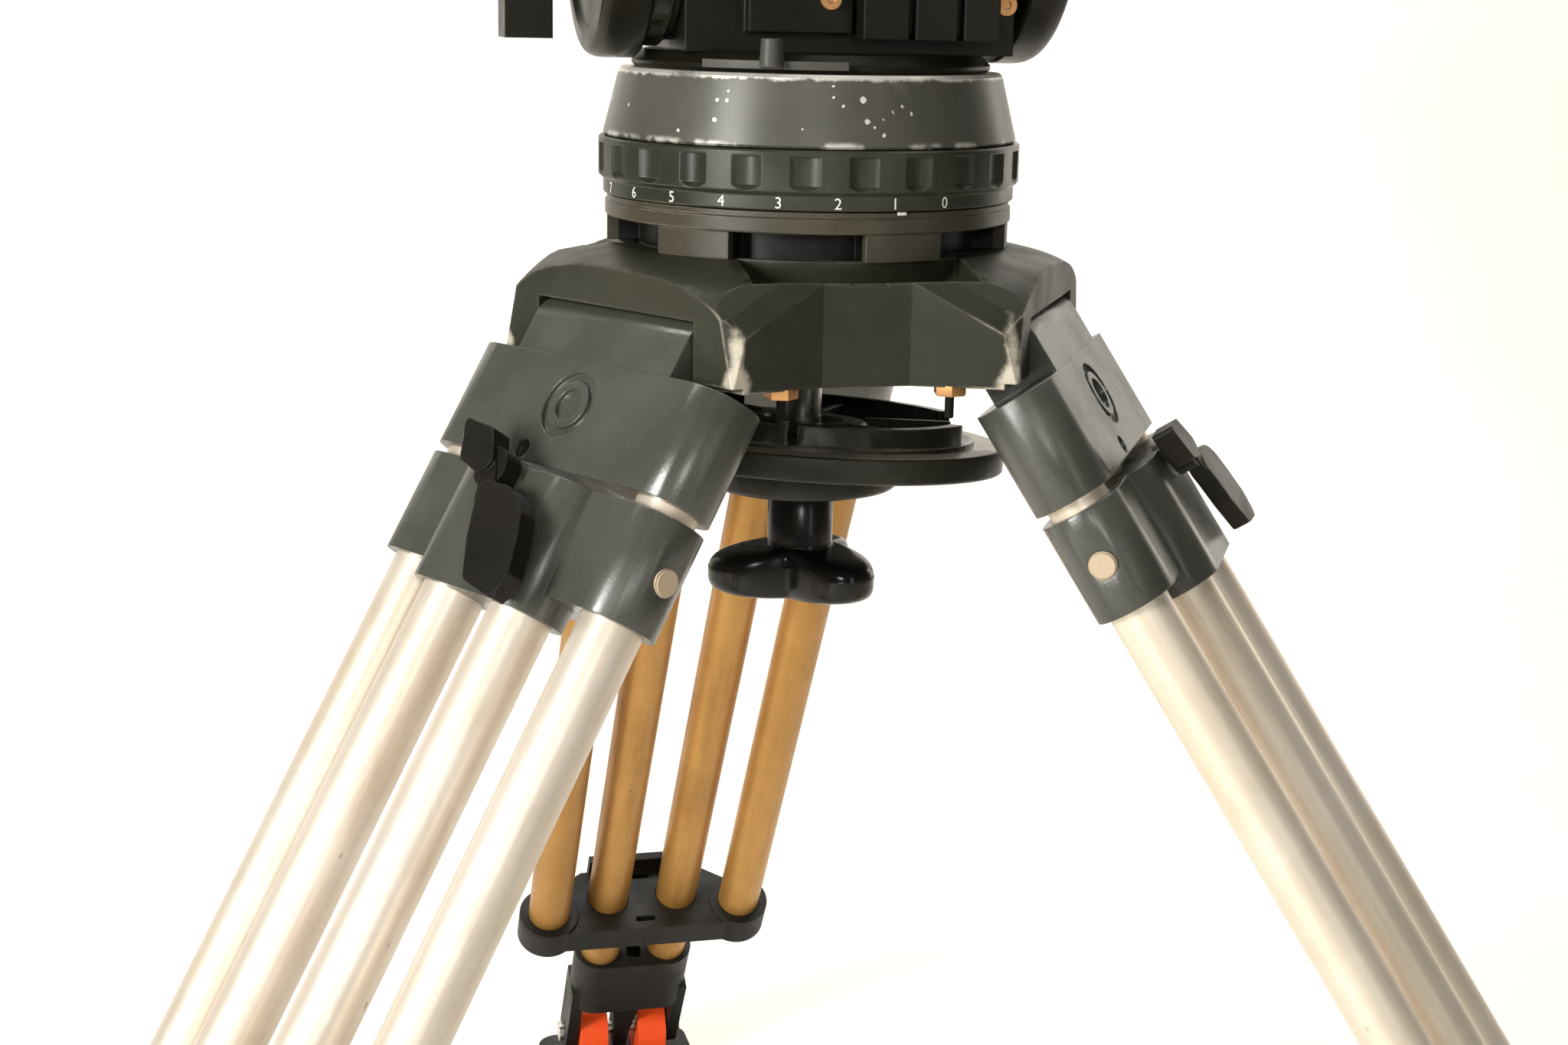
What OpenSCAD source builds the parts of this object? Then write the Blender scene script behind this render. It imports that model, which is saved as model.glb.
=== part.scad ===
// Heavy film tripod with a 150 mm class fluid head: three legs of four parallel
// tubes, a cast crown, a tie-down underneath and a pan and tilt head on top.
// Millimetres, +Z up. The origin is on the floor, on the vertical pan axis.
// The operator stands at +Y and the head points towards -Y.

/* [Legs] */
// Angle of each leg from vertical, in degrees
leg_tilt = 33.4; // [31:0.1:34]
// Diameter of the leg tubes
tube_d = 25; // [22:0.5:25]
// Wall of the leg tubes
tube_wall = 1.6; // [1:0.1:3]
// Half distance between the two outer tubes of a leg
outer_half = 59.2; // [58:0.1:60]
// Half distance between the two inner tubes of a leg
inner_half = 21.3; // [20:0.1:22]
// How far the inner tubes stand outward of the outer ones
inner_shift = 9.9; // [9:0.1:10.5]
// Distance along the leg from its top to the foot pivot
foot_pivot_l = 645; // [630:1:700]

/* [Crown] */
// Distance from the pan axis to each flat leg face
crown_face_r = 104.5; // [104:0.1:105]
// Radius at the corners beside each leg face
crown_corner_r = 125.5; // [124:0.5:127]
// Radius of the bowl's spherical seat
bowl_r = 75; // [70:1:75]

/* [Tie-down] */
// Radius of the clamp plate under the bowl
clamp_r = 86; // [80:1:86]
// How far the loose clamp plate hangs out of level, in degrees
clamp_cock = 5.1; // [0:0.1:6]

/* [Head] */
// Radius of the pan drag ring at its bottom edge
ring_r = 85; // [84:0.5:86]
// Number of finger scallops round the drag rings
ring_scallops = 24; // [18:1:24]
// Height of the tilt axis above the drag ring's bottom edge
tilt_h = 116; // [114:1:120]
// Radius of the two tilt drums
drum_r = 61.8; // [56:0.2:61.8]
// Length of the pan bar
bar_l = 330; // [250:10:400]

/* [Hidden] */

$fn = 64;
fine_fn = 96;
hull_fn = 32;

// Gaps
slide_gap = 0.3;
turn_gap = 0.05;
seam = 0.4;

// Leg directions, in degrees from -Y towards +X
right_dir = 60;
back_dir = 180;
left_dir = 300;

// Leg reference point: the outer tubes' plane at this radius and height below the ring
leg_top_r = 95.8;
leg_top_drop = 60;
foot_pivot_h = 34;
ring_z = foot_pivot_h + leg_top_drop - inner_shift * sin(leg_tilt)
         + foot_pivot_l * cos(leg_tilt);
leg_top_z = ring_z - leg_top_drop;

tube_r = tube_d / 2;
lobe_r = tube_r + 4.5;

// Leg hinge, in the leg's own frame: outward offset and distance along the leg
hinge_n = 2;
hinge_l = -4.7;
hinge_pin_r = 4;
hinge_pin_half = 66;
tongue_face_n = 16.2;
tongue_half = 46.4;
tongue_end_r = tongue_face_n - hinge_n;

// Stations along the leg
shoulder_l = [11, 56.2];
slider_l = [61, 104];
slider_tail_l = 113;
bracket_l = [489, 510];
fork_l = [548, 600];
plug_l = 83;
plug_r = 5.6;
lever_l = 67;
slider_face_n = 26.9;
lever_stud_r = 3;

// Foot
ear_in = 29.5;
ear_out = 37.3;
foot_bolt_r = 4;
collar_r = 21;
collar_t = [10, 28.5];

// Crown heights, measured down from the ring's bottom edge
crown_top = 19.6;
crown_bottom = 65.3;
crown_relief = 63;
slot_top = 40;
slot_half = 47.3;
slot_back_r = 78.5;
bowl_drop = 5;
bowl_shell = 5;
facet_r = 97;
facet_half = 17.4;

// Tie-down heights, measured down from the ring's bottom edge
plate_drop = 106.2;
plate_thick = 10.5;
clamp_dir = 132;
boss_drop = [100, 123];
boss_r = 41.4;
stud_r = 8;
stud_drop = [46, 162];
sleeve_r = 14;
knob_drop = [150, 172];
knob_reach = 39;

// Pan bearing: the spindle under the head turns in the base
spindle_r = 18;
spigot_r = 71.7;

// Head heights, measured up from the ring's bottom edge
ring_top = 23;
housing_top = 50.8;
neck_top = 58;
neck_r = 73.6;
drum_in_left = -74;
drum_in_right = 76;
drum_out = 93.5;
platform_h = 66;
platform_t = 20;
bracket_x = [-127, -108];
barrel_r = 47;
housing_left = -61.5;
housing_half = 44;
shaft_r = 12;
rosette_pin_r = 6;

// A cylinder between two heights
module disc(r, z0, z1) {
  translate([0, 0, z0]) cylinder(r = r, h = z1 - z0);
}

// A disc along X between two places
module disc_x(r, x0, x1) {
  translate([x0, 0, 0]) rotate([0, 90, 0]) cylinder(r = r, h = x1 - x0);
}

// A disc along Y between two places
module disc_y(r, y0, y1) {
  translate([0, y0, 0]) rotate([-90, 0, 0]) cylinder(r = r, h = y1 - y0);
}

// A block given by its lowest and highest corners
module block(low, high) {
  translate(low) cube(high - low);
}

// Puts children at the pan axis, with z measured from the ring's bottom edge
module on_ring() {
  translate([0, 0, ring_z]) children();
}

// Puts children on the tilt axis
module on_tilt() {
  translate([0, 0, ring_z + tilt_h]) children();
}

// The leg's own frame: x across the leg, -y outward, -z along the leg from its top
module on_leg(dir) {
  rotate([0, 0, dir]) translate([0, -leg_top_r, leg_top_z])
    rotate([-leg_tilt, 0, 0]) children();
}

// The foot's upright frame, centred on the foot pivot
module on_foot(dir) {
  pivot_r = leg_top_r + inner_shift * cos(leg_tilt) + foot_pivot_l * sin(leg_tilt);
  rotate([0, 0, dir]) translate([0, -pivot_r, foot_pivot_h]) children();
}

// Runs children at both tubes of a pair, mirrored
module pair(half) {
  for (side = [-1, 1]) translate([side * half, 0, 0]) children();
}

// Children on the right, and mirrored on the left
module both_sides() {
  for (side = [0, 1]) mirror([side, 0, 0]) children();
}

// A block along the leg between two stations, rounded round a pair of tubes
module lobes(half, r, stations) {
  translate([0, 0, -stations[1]]) linear_extrude(stations[1] - stations[0]) {
    square([2 * half, 2 * r], center = true);
    for (side = [-1, 1]) translate([side * half, 0]) circle(r);
  }
}

// Tube holes for a pair of tubes
module tube_holes(half, gap, stations) {
  pair(half) disc(tube_r + gap, -stations[1], -stations[0]);
}

// ---------------------------------------------------------------- crown

// Outline of the crown: three flat leg faces, and between each two of them a hollow, with a
// flat facet in the middle and a flank on either side that runs out to the corner
leg_face_half = sqrt(crown_corner_r * crown_corner_r - crown_face_r * crown_face_r);
function polar(r, dir) = [r * sin(dir), -r * cos(dir)];
function crown_corner(dir, side) = polar(crown_corner_r, dir + side * acos(crown_face_r / crown_corner_r));
function facet_corner(dir, side) = polar(norm([facet_r, facet_half]), dir + 60 + side * atan(facet_half / facet_r));
function crown_outline() = [
  for (dir = [left_dir, right_dir, back_dir]) each [
    crown_corner(dir, -1), crown_corner(dir, 1), facet_corner(dir, -1), facet_corner(dir, 1)
  ]
];

// Half section of the crown's domed top
dome_start = [101.7, -23.8];
dome_arc_r = 34;
dome_slope = 13.4;
dome_end = 64;
dome_centre = dome_start - dome_arc_r * [sin(dome_slope), cos(dome_slope)];
function dome_section() = concat(
  [[0, -crown_bottom], [0, -crown_top], [84, -crown_top]],
  [for (a = [dome_slope:5:dome_end]) dome_centre + dome_arc_r * [sin(a), cos(a)]],
  [[crown_corner_r + 1, -42], [crown_corner_r + 1, -crown_bottom]]
);

// What is cut away above one hollow, in a frame that has the hollow on -Y
facet_top = 25.4;
facet_slope = 29;
flank_fall = 27.9;
module above_hollow() {
  run = crown_corner(-60, 1) - facet_corner(-60, -1);
  translate([0, -facet_r, -facet_top]) rotate([-facet_slope, 0, 0]) block([-45, -30, 0], [45, 30, 30]);
  // Two sloping planes on each flank, [slope, height above the flank's top edge]
  both_sides() for (cut = [[53, 0], [39.4, 3.4]])
    translate([-facet_half, -facet_r, cut[1] - facet_top]) rotate([0, flank_fall, atan2(run[1], run[0])])
      rotate([-cut[0], 0, 0]) block([-20, -50, 0], [70, 40, 40]);
}

// Sliver cut from the corner between a leg face and a flank, wider towards the top
module corner_sliver() {
  corner_lean = 10;
  translate([leg_face_half, -crown_face_r, -crown_bottom]) rotate([0, 0, 41]) rotate([-corner_lean, 0, 0])
    block([-20, -30, -5], [20, 0, 60]);
}

// The slot that a leg's tongue turns in, open at the bottom and at the face
module tongue_slot() {
  block([-slot_half, -crown_corner_r - 5, -crown_bottom - 1], [slot_half, -slot_back_r, -slot_top]);
}

// Hinge pin along the crown's leg face
module hinge_pin_shape(r, half) {
  rotate([-leg_tilt, 0, 0]) translate([0, -hinge_n, -hinge_l]) disc_x(r, -half, half);
}

module crown() {
  color("#34352f") {
    on_ring() difference() {
      intersection() {
        translate([0, 0, -crown_bottom]) linear_extrude(crown_bottom - crown_top)
          polygon(crown_outline());
        rotate_extrude($fn = fine_fn) polygon(dome_section());
      }
      translate([0, 0, -bowl_drop]) sphere(bowl_r + bowl_shell - 0.01, $fn = fine_fn);
      for (dir = [right_dir, back_dir, left_dir]) rotate([0, 0, dir]) {
        tongue_slot();
        both_sides() corner_sliver();
        rotate([0, 0, 60]) above_hollow();
        // Room for the shoulders as the legs fold
        block([-leg_face_half - 10, -crown_corner_r - 5, -crown_bottom - 1],
              [leg_face_half + 10, -crown_face_r + 5, -crown_relief]);
        translate([0, -leg_top_r, -leg_top_drop]) hinge_pin_shape(hinge_pin_r, hinge_pin_half);
      }
    }
    // Spherical bowl, open at the bottom for the stud
    on_ring() difference() {
      translate([0, 0, -bowl_drop]) sphere(bowl_r + bowl_shell, $fn = fine_fn);
      translate([0, 0, -bowl_drop]) sphere(bowl_r + slide_gap, $fn = fine_fn);
      disc(bowl_r + 20, -crown_top, 100);
      disc(bowl_r, -bowl_r - 30, -bowl_r - 1);
      disc(26, -bowl_r - 30, -50);
    }
  }
}

module leg_hinge_pins() {
  color("#6d6b66") on_ring() for (dir = [right_dir, back_dir, left_dir]) rotate([0, 0, dir])
    translate([0, -leg_top_r, -leg_top_drop]) hinge_pin_shape(hinge_pin_r, hinge_pin_half);
}

// ---------------------------------------------------------------- tie-down

module tie_down_stud() {
  color("#8c8a84") on_ring() disc(stud_r, -stud_drop[1], -stud_drop[0]);
}

// Children hang from the stud, cocked down towards clamp_dir
module cocked() {
  translate([0, 0, ring_z - plate_drop]) rotate([0, 0, clamp_dir]) rotate([clamp_cock, 0, 0])
    rotate([0, 0, -clamp_dir]) children();
}

module clamp_plate() {
  rib_count = 6;
  wall_spans = [[-62, -20], [-16.5, 55], [100, 175], [190, 235]];
  color("#2b2b29") cocked() {
    rotate_extrude($fn = fine_fn) polygon([
      [17, -plate_thick / 2], [clamp_r - 0.8, -plate_thick / 2], [clamp_r, -plate_thick / 2 + 0.8],
      [clamp_r, plate_thick / 2 - 0.8], [clamp_r - 0.8, plate_thick / 2],
      [73, plate_thick / 2], [73, plate_thick / 2 + 2], [30, plate_thick / 2 + 2],
      [26, plate_thick / 2 + 6], [17, plate_thick / 2 + 6]
    ]);
    // Raised wall, in lengths that leave the corners of the crown free
    for (span = wall_spans) rotate([0, 0, span[0] - 90])
      rotate_extrude(angle = span[1] - span[0], $fn = fine_fn)
        translate([65, plate_thick / 2]) square([5.5, 10]);
    for (i = [0:rib_count - 1]) rotate([0, 0, i * 360 / rib_count])
      block([27, -1.5, plate_thick / 2], [65.5, 1.5, plate_thick / 2 + 7]);
  }
}

module clamp_boss() {
  color("#262624") difference() {
    on_ring() rotate_extrude($fn = fine_fn) polygon([
      [sleeve_r, -boss_drop[1]], [boss_r - 1.5, -boss_drop[1]], [boss_r, -boss_drop[1] + 1.5],
      [boss_r, -boss_drop[0]], [sleeve_r, -boss_drop[0]]
    ]);
    // The top follows the underside of the cocked plate
    cocked() disc(2 * boss_r, -plate_thick / 2, 20);
  }
}

// Three-lobed wing knob with a long sleeve
module wing_knob() {
  color("#1a1917") on_ring() difference() {
    union() {
      disc(sleeve_r, -knob_drop[0] - 4, -boss_drop[1] - seam);
      translate([0, 0, -knob_drop[1]]) cylinder(r1 = 20, r2 = 18, h = 22);
      for (i = [0:2]) rotate([0, 0, i * 120 - 30]) hull() {
        translate([knob_reach - 9, 0, 1 - knob_drop[1]]) cylinder(r1 = 7, r2 = 9, h = 17, $fn = hull_fn);
        translate([8, 0, 1 - knob_drop[1]]) cylinder(r1 = 14, r2 = 12, h = 20, $fn = hull_fn);
      }
    }
    disc(stud_r + turn_gap, -168.5, 0);
  }
}

// ---------------------------------------------------------------- legs

// Casting that joins the outer tubes to the crown
module shoulder(dir) {
  dish_r = 14;
  dish_l = 30;
  dish_depth = 2;
  color("#3a3b3a") on_leg(dir) difference() {
    union() {
      lobes(outer_half, lobe_r, shoulder_l);
      // Tongue, rounded about the hinge
      translate([0, -hinge_n, -hinge_l]) disc_x(tongue_end_r, -tongue_half, tongue_half);
      block([-tongue_half, -tongue_face_n, -shoulder_l[0] - 2],
            [tongue_half, tongue_end_r - hinge_n, -hinge_l]);
    }
    tube_holes(outer_half, 0, [14, shoulder_l[1] + 1]);
    translate([0, -hinge_n, -hinge_l]) disc_x(hinge_pin_r + turn_gap, -tongue_half - 1, tongue_half + 1);
    // Round dish with a raised ring in it
    translate([0, 0, -dish_l]) difference() {
      disc_y(dish_r, -lobe_r - 1, -lobe_r + dish_depth);
      disc_y(dish_r - 4, -lobe_r - 2, -lobe_r + dish_depth + 1);
    }
    translate([0, 0, -dish_l]) disc_y(dish_r - 7, -lobe_r - 1, -lobe_r + dish_depth);
    // Pit near the lower edge
    translate([-14, 0, -shoulder_l[1] + 4.6]) disc_y(4, -lobe_r - 1, -lobe_r + 3);
  }
}

// A pair of leg tubes between two stations
module leg_tubes(dir, half, shift, stations) {
  color("#c9c5bb") on_leg(dir) translate([0, -shift, 0]) pair(half) difference() {
    disc(tube_r, -stations[1], -stations[0]);
    disc(tube_r - tube_wall, -stations[1] - 1, -stations[0] + 1);
  }
}

module outer_tubes(dir) {
  leg_tubes(dir, outer_half, 0, [14, bracket_l[1] - 3]);
}

module inner_tubes(dir) {
  leg_tubes(dir, inner_half, inner_shift, [slider_l[0] + 5, fork_l[1] - 12]);
}

// Plastic bracket that ties the outer tubes together and guides the inner ones
module lower_bracket(dir) {
  cup_r = 18;
  wall_n = 15;
  back_n = 29;
  back_half = 36;
  color("#2c2b28") on_leg(dir) difference() {
    union() {
      pair(outer_half) disc(cup_r, -bracket_l[1], -bracket_l[0]);
      translate([0, 0, -bracket_l[1]]) linear_extrude(bracket_l[1] - bracket_l[0] - 2)
        polygon([[-outer_half, wall_n], [outer_half, wall_n], [outer_half + 6, -10],
                 [back_half, -back_n], [-back_half, -back_n], [-outer_half - 6, -10]]);
      // Upright lip along the outward edge
      block([-31, -back_n - 5, -bracket_l[1]], [31, -back_n, -bracket_l[0] + 8]);
    }
    tube_holes(outer_half, 0, [bracket_l[0] - 1, bracket_l[1] - 3]);
    translate([0, -inner_shift, 0]) tube_holes(inner_half, slide_gap, [bracket_l[0] - 9, bracket_l[1] + 1]);
    block([-6, 6, -bracket_l[1] - 1], [6, 9.5, 0]);
    block([-6, -25.5, -bracket_l[1] - 1], [6, -22, 0]);
  }
}

// Casting that slides on the outer tubes and carries the inner ones
module slider(dir) {
  color("#3a3b3a") on_leg(dir) difference() {
    union() {
      lobes(outer_half, lobe_r, slider_l);
      translate([0, -inner_shift, 0]) lobes(inner_half, lobe_r, [slider_l[0], slider_tail_l]);
      // Lever boss
      translate([0, 0, -lever_l]) disc_y(8, -slider_face_n - 2, -slider_face_n + 3);
      translate([0, 0, -lever_l]) disc_y(lever_stud_r, -slider_face_n - 7, -slider_face_n);
    }
    tube_holes(outer_half, slide_gap, [slider_l[0] - 1, slider_l[1] + 1]);
    translate([0, -inner_shift, 0]) tube_holes(inner_half, 0, [slider_l[0] + 5, slider_tail_l + 1]);
    both_sides() translate([outer_half, 0, -plug_l]) disc_x(plug_r, tube_r - 1, lobe_r + 1);
  }
}

// Cream plugs on the outside of the slider
module plugs(dir) {
  color("#e6dcc4") on_leg(dir) both_sides() translate([outer_half, 0, -plug_l]) {
    disc_x(plug_r, tube_r + 0.6, lobe_r);
    disc_x(plug_r - 0.6, lobe_r, lobe_r + 0.8);
  }
}

// Clamp lever: a flat plate with a block above the hub and a wide paddle below it
module clamp_lever(dir, turn) {
  face = -slider_face_n - 2 - seam;
  round_edge = 1.6;
  block_outline = [[-14.5, 7], [-13.3, 26.5], [2, 15.5], [3.5, 1], [0, -2], [-5, -2]];
  paddle_outline = [[-5, 6], [3.5, 3], [4, -9], [12, -13.5], [17.5, -20.5], [20, -28], [19, -39],
                    [16, -52], [8, -60], [-7.4, -47], [-7.2, -29], [-5, -16]];
  color("#1c1b19") on_leg(dir) translate([0, 0, -lever_l]) rotate([0, turn, 0]) difference() {
    union() {
      disc_y(8.5, face - 8, face);
      lever_layer(block_outline, round_edge, [face - 10.5, face - 1.5]);
      lever_layer(paddle_outline, round_edge, [face - 9, face - 3]);
      lever_layer(paddle_outline, 3 * round_edge, [face - 9.8, face - 2.2]);
    }
    disc_y(lever_stud_r + turn_gap, face - 6, face + 1);
  }
}

// An outline in the plane of the lever, with rounded corners, between two depths
module lever_layer(outline, corner, depth) {
  translate([0, depth[1], 0]) rotate([90, 0, 0]) linear_extrude(depth[1] - depth[0])
    offset(r = corner, $fn = hull_fn) offset(delta = -corner) polygon(outline);
}

// Fork at the lower end of the inner tubes
module foot_fork(dir) {
  ear_r = 12;
  color("#2f2c27") on_leg(dir) translate([0, -inner_shift, 0]) difference() {
    union() {
      lobes(inner_half, 16, fork_l);
      both_sides() {
        block([ear_in, -ear_r, -foot_pivot_l], [ear_out, ear_r, -fork_l[1] + 16]);
        translate([0, 0, -foot_pivot_l]) disc_x(ear_r, ear_in, ear_out);
      }
      // Tapering web between the collars
      rotate([90, 0, 0]) linear_extrude(20, center = true)
        polygon([[-9.4, -fork_l[1] + 2], [9.4, -fork_l[1] + 2], [9.4, -fork_l[1] - 3],
                 [4.5, -foot_pivot_l + 8], [4.5, -foot_pivot_l - 8], [-4.5, -foot_pivot_l - 8],
                 [-4.5, -foot_pivot_l + 8], [-9.4, -fork_l[1] - 3]]);
    }
    tube_holes(inner_half, 0, [fork_l[0] - 1, fork_l[1] - 12]);
    block([-4.5, -9, -fork_l[0] - 14], [4.5, 9, 0]);
    translate([0, 0, -foot_pivot_l]) disc_x(foot_bolt_r, -60, 60);
  }
}

module foot_bolt(dir) {
  head_r = 6.5;
  color("#b9b6ae") on_foot(dir) {
    disc_x(foot_bolt_r, -ear_out, ear_out);
    both_sides()
      disc_x(head_r, ear_out, ear_out + 3);
  }
}

// Red rubber collars either side of the web
module foot_collars(dir) {
  color("#d8361f") on_foot(dir) both_sides()
    difference() {
      disc_x(collar_r, collar_t[0], collar_t[1]);
      disc_x(foot_bolt_r + turn_gap, 0, 40);
    }
}

// Rubber shoe that stays flat on the floor
module shoe(dir) {
  pad_half = [50, 38];
  pad_corner = 14;
  pad_top = 13;
  color("#23221f") on_foot(dir) difference() {
    union() {
      translate([0, 0, -foot_pivot_h]) linear_extrude(pad_top) offset(r = pad_corner, $fn = hull_fn)
        square(2 * (pad_half - [pad_corner, pad_corner]), center = true);
      both_sides()
        block([collar_t[0], -18, -foot_pivot_h + pad_top - 1], [collar_t[1], 18, -8]);
    }
    disc_x(collar_r, -40, 40);
    // Grooves across the tread
    for (i = [-3:3]) block([-60, i * 10 - 1.5, -foot_pivot_h - 1], [60, i * 10 + 1.5, -foot_pivot_h + 2.5]);
  }
}

// ---------------------------------------------------------------- head, fixed and panning

// Castellated base flange with the half ball that sits in the bowl
module head_base() {
  window_dir = -17;
  window_count = 6;
  pillar_half = 11.5;
  core_r = 70;
  flange_r = 84.2;
  window_top = -9;
  pillar_foot = -crown_top;
  ball_top = pillar_foot - 0.6;
  ball_bottom = -bowl_r + 2;
  function ball_point(z) = [sqrt(bowl_r * bowl_r - (z + bowl_drop) * (z + bowl_drop)), z];
  color("#3b3a34") on_ring() {
    difference() {
      rotate_extrude($fn = fine_fn) polygon(concat(
        [[0, ball_bottom]],
        [for (z = [ball_bottom:5:ball_top]) ball_point(z)],
        [[core_r, ball_top], [core_r, window_top], [flange_r - 0.6, window_top],
         [flange_r, window_top + 0.6], [flange_r, -3.2], [flange_r - 0.8, -2.6],
         [flange_r - 0.8, -0.6], [spigot_r, -0.6], [spigot_r, ring_top - 1], [0, ring_top - 1]]
      ));
      disc(stud_r, ball_bottom - 1, -stud_drop[0]);
      disc(spindle_r + turn_gap, -32, ring_top);
    }
    for (i = [0:window_count - 1]) rotate([0, 0, window_dir + 30 + i * 360 / window_count - 90])
      translate([0, 0, pillar_foot]) rotate([0, 0, -pillar_half])
        rotate_extrude(angle = 2 * pillar_half, $fn = fine_fn)
          translate([core_r - 1, 0]) square([flange_r - core_r + 0.2, window_top - pillar_foot + 0.5]);
  }
}

// Scalloped finger ring: one vertical hollow
module scallop(r, z0, z1) {
  hollow_r = 10;
  translate([r + hollow_r - 2.2, 0, 0]) {
    disc(hollow_r, z0 + 2.5, z1);
    translate([0, 0, z0]) cylinder(r1 = hollow_r - 2.4, r2 = hollow_r, h = 2.5);
  }
}

module pan_drag_ring() {
  lip_r = ring_r + 2;
  color("#2c2e2a") on_ring() difference() {
    rotate_extrude($fn = fine_fn) polygon([
      [72, 0], [ring_r - 0.4, 0], [ring_r, 0.4], [ring_r, 5.6], [lip_r, 7.4],
      [lip_r, ring_top - 0.8], [lip_r - 0.8, ring_top], [72, ring_top]
    ]);
    for (i = [0:ring_scallops - 1]) rotate([0, 0, i * 360 / ring_scallops]) scallop(lip_r, 7, ring_top - 2.4);
  }
}

// Tapered housing that turns with the head
module pan_housing() {
  foot_r = 85.2;
  lip_r = 78.8;
  low = ring_top + seam;
  color("#4a4c47") on_ring() rotate_extrude($fn = fine_fn) polygon([
    [spindle_r, low], [foot_r - 0.8, low], [foot_r, low + 1], [lip_r, housing_top - 1.2],
    [lip_r - 1.2, housing_top], [spindle_r, housing_top]
  ]);
}

module head_neck() {
  color("#232320") on_ring() {
    rotate_extrude($fn = fine_fn) polygon([
      [0, -30], [spindle_r, -30], [spindle_r, housing_top], [72, housing_top],
      [neck_r, housing_top + 1.5], [neck_r, neck_top - 4.2], [neck_r - 4, neck_top], [0, neck_top]
    ]);
  }
}

// Small thumb tab of the pan brake, on a band that turns round the neck
module pan_brake() {
  tab_dir = -25.3;
  tab_r = 79;
  color("#6f7068") on_ring() rotate([0, 0, tab_dir]) {
    rotate([0, 0, -90 - 22]) rotate_extrude(angle = 44, $fn = fine_fn)
      translate([neck_r + slide_gap, housing_top + 1.6]) square([2.6, 3.2]);
    hull() {
      translate([0, -tab_r, housing_top + 2.7]) cylinder(r = 4.4, h = 1.5, $fn = hull_fn);
      translate([0, -tab_r + 0.6, housing_top + 11.6]) cylinder(r = 4, h = 1.5, $fn = hull_fn);
      block([-4.4, -77, housing_top + 2], [4.4, -75.6, housing_top + 12.4]);
    }
  }
}

module tilt_housing() {
  color("#2a2a27") on_tilt() difference() {
    union() {
      disc_x(barrel_r, housing_left, drum_in_right - seam);
      disc_x(barrel_r - 3, drum_in_left + seam, housing_left + 1);
      block([housing_left, -housing_half, neck_top - tilt_h], [drum_in_right - 4, housing_half, -20]);
      // Raised cover on the front
      block([-38, -52, neck_top - tilt_h + 8], [3, -30, 4]);
    }
    disc_x(shaft_r + turn_gap, -80, 90);
  }
}

// Copper-coloured screw heads on the front of the housing
module head_screws() {
  color("#b07742") on_tilt() {
    for (p = [[-6, -37], [-6, -6], [-31, -6]])
      translate([p[0], 0, p[1]]) difference() {
        disc_y(4.2, -54, -52);
        disc_y(1.8, -55, -52.8);
      }
    for (z = [-38, -25]) translate([67.5, 0, z]) difference() {
      disc_y(4.2, -48, -44);
      disc_y(1.8, -49, -46.8);
    }
  }
}

// Three ribbed blocks of the counterbalance
module balance_blocks() {
  color("#33342f") on_tilt() {
    difference() {
      union() {
        for (x = [[5, 23], [26, 42.6], [45.6, 60]])
          block([x[0], -62, -tilt_h + 64], [x[1], -housing_half, -2]);
        block([5, -56, -tilt_h + 66], [60, -housing_half, -4]);
      }
      disc_x(barrel_r, 0, 70);
    }
  }
}

module spirit_level() {
  color("#c8d86a") on_tilt() translate([64, 44, platform_h + platform_t]) {
    cylinder(r = 9, h = 5);
    translate([0, 0, 5]) cylinder(r1 = 7.5, r2 = 6, h = 1.5);
  }
}

// ---------------------------------------------------------------- head, tilting

// End drum of the tilt axis with the arm that carries the platform
module drum(x0, x1) {
  round_edge = 7;
  arm = 34;
  steps = 6;
  color("#2e2d29") on_tilt() mirror([x0 < 0 ? 1 : 0, 0, 0]) {
    inner = min(abs(x0), abs(x1));
    outer = max(abs(x0), abs(x1));
    difference() {
      union() {
        rotate([0, 90, 0]) rotate_extrude($fn = fine_fn) polygon(concat(
          [[0, inner], [drum_r - 1, inner], [drum_r, inner + 1]],
          [for (i = [0:steps]) let (a = 90 * i / steps)
            [drum_r - round_edge * 0.55 * (1 - cos(a)), outer - round_edge + round_edge * sin(a)]],
          [[drum_r - 9, outer], [drum_r - 11, outer - 2], [0, outer - 2]]
        ));
        block([inner, -arm, 0], [outer - 3, arm, platform_h]);
      }
      // Lightening pocket in the arm
      disc_x(8, outer - 4, outer + 1);
    }
    disc_x(7.9, outer - 4.1, outer - 0.5);
  }
}

module left_drum() {
  drum(drum_in_left, -drum_out);
  color("#2e2d29") on_tilt() {
    disc_x(shaft_r, drum_in_left - 1, drum_in_right);
    // Rosette for the pan bar, and the pin it turns on
    disc_x(24, bracket_x[1] + seam, -drum_out + 3);
    disc_x(rosette_pin_r, bracket_x[1] - 13, bracket_x[1] + 1);
  }
}

module right_drum() {
  drum(drum_in_right, drum_out);
}

// Numbered tilt drag ring beside the left drum
module tilt_drag_ring() {
  x0 = drum_in_left + seam;
  x1 = housing_left - seam;
  outer_r = 57;
  hollow_r = 9.5;
  color("#30312d") on_tilt() difference() {
    rotate([0, 90, 0]) rotate_extrude($fn = fine_fn) polygon([
      [barrel_r - 3 + slide_gap, x0], [outer_r - 0.8, x0], [outer_r, x0 + 0.8], [outer_r, x1 - 3.5],
      [outer_r - 2.5, x1 - 2.5], [outer_r - 2.5, x1], [barrel_r - 3 + slide_gap, x1]
    ]);
    for (i = [0:ring_scallops - 1]) rotate([0, 90, 0]) rotate([0, 0, i * 360 / ring_scallops])
      translate([outer_r + hollow_r - 2, 0, 0]) disc(hollow_r, x0 + 1.5, x1 - 4.5);
  }
}

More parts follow.
